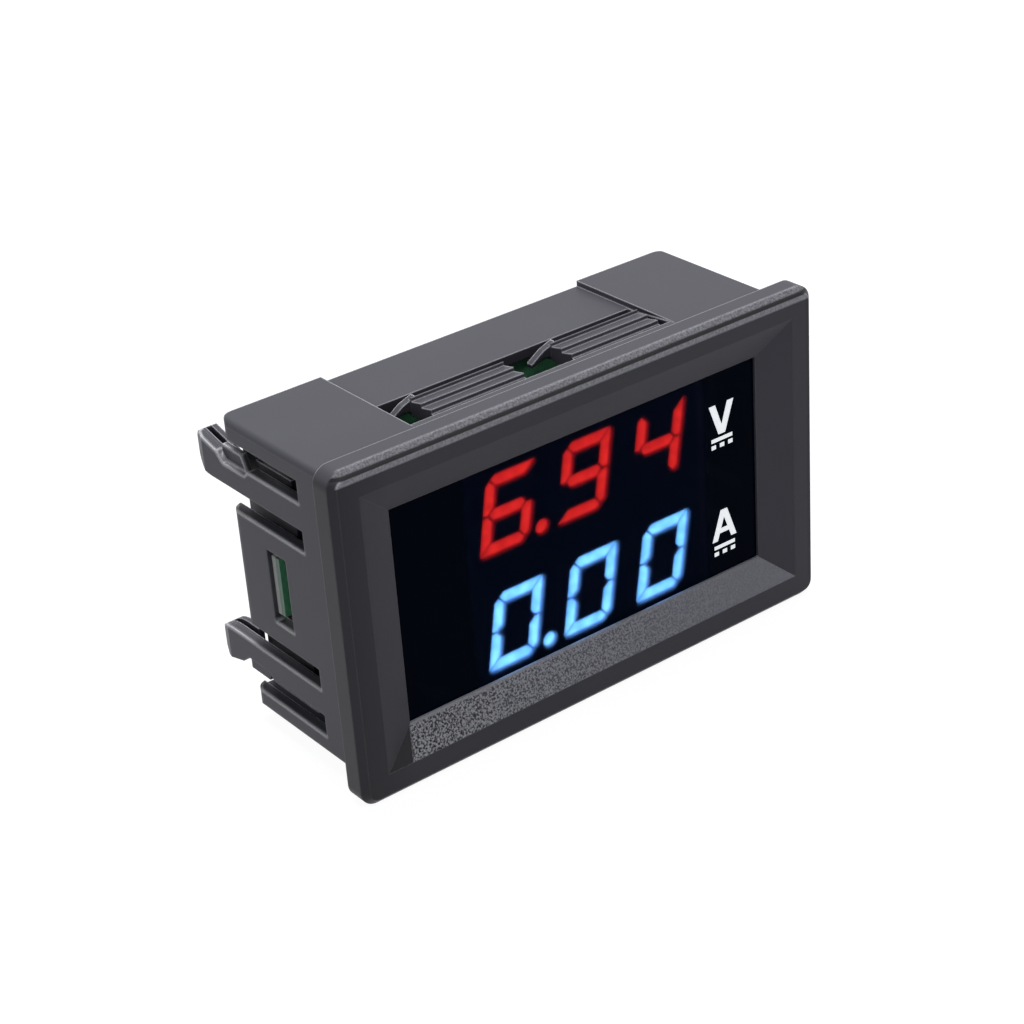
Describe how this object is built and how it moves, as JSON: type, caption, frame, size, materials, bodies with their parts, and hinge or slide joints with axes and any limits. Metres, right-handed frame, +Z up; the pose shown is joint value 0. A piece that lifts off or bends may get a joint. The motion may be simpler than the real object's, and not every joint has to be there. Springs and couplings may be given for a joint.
{
  "type": "digital panel meter",
  "caption": "Snap-in panel meter with a sloping bezel, a smoked window over two rows of seven-segment digits, ratchet tabs, sprung side fingers and an open-backed circuit board.",
  "frame": {"origin": "middle of the panel cut-out, in the plane of the panel's front face (the bezel's rear face)", "axes": "+X along the meter's width, to the right seen from the front; +Y into the panel, away from the viewer; +Z up"},
  "size_m": [0.048, 0.0219, 0.029],
  "materials": {
    "housing_plastic": "satin",
    "smoked_window": "gloss",
    "display_resin": "gloss",
    "red_light": "gloss",
    "blue_light": "gloss",
    "unlit_segment": "gloss",
    "green_board": "satin",
    "solder": "bright",
    "tinned_metal": "bright",
    "chip_black": "matte",
    "capacitor_yellow": "satin",
    "ceramic_tan": "matte",
    "ivory_plastic": "satin",
    "rotor_metal": "bright",
    "resistance_wire": "satin"
  },
  "bodies": {
    "meter": {"housing": "housing_plastic", "window_filter": "smoked_window", "voltage_display": "display_resin", "voltage_digits_lit": "red_light", "voltage_digits_unlit": "unlit_segment", "voltage_display_pins": "tinned_metal", "current_display": "display_resin", "current_digits_lit": "blue_light", "current_digits_unlit": "unlit_segment", "current_display_pins": "tinned_metal", "circuit_board": "green_board", "solder_joints": "solder", "controller_chip": "chip_black", "controller_leads": "tinned_metal", "amplifier_chip": "chip_black", "amplifier_leads": "tinned_metal", "regulator": "chip_black", "regulator_tabs": "tinned_metal", "protection_diode": "chip_black", "diode_terminals": "tinned_metal", "supply_capacitor": "capacitor_yellow", "chip_capacitors": "ceramic_tan", "chip_resistors": "chip_black", "resistor_terminals": "tinned_metal", "voltage_adjuster": "ivory_plastic", "current_adjuster": "ivory_plastic", "supply_connector": "ivory_plastic", "supply_pins": "tinned_metal", "current_connector": "ivory_plastic", "current_pins": "tinned_metal", "current_shunt": "resistance_wire"},
    "voltage_trim": {"voltage_rotor": "rotor_metal"},
    "current_trim": {"current_rotor": "rotor_metal"}
  },
  "joints": [
    {"name": "voltage_trim_turn", "type": "hinge", "parent": "meter", "child": "voltage_trim", "pos_m": [-0.016, 0.0114, 0.0056], "axis": [0, 1, 0], "range_deg": [-120, 120]},
    {"name": "current_trim_turn", "type": "hinge", "parent": "meter", "child": "current_trim", "pos_m": [-0.0106, 0.0114, 0.0056], "axis": [0, 1, 0], "range_deg": [-120, 120]}
  ]
}
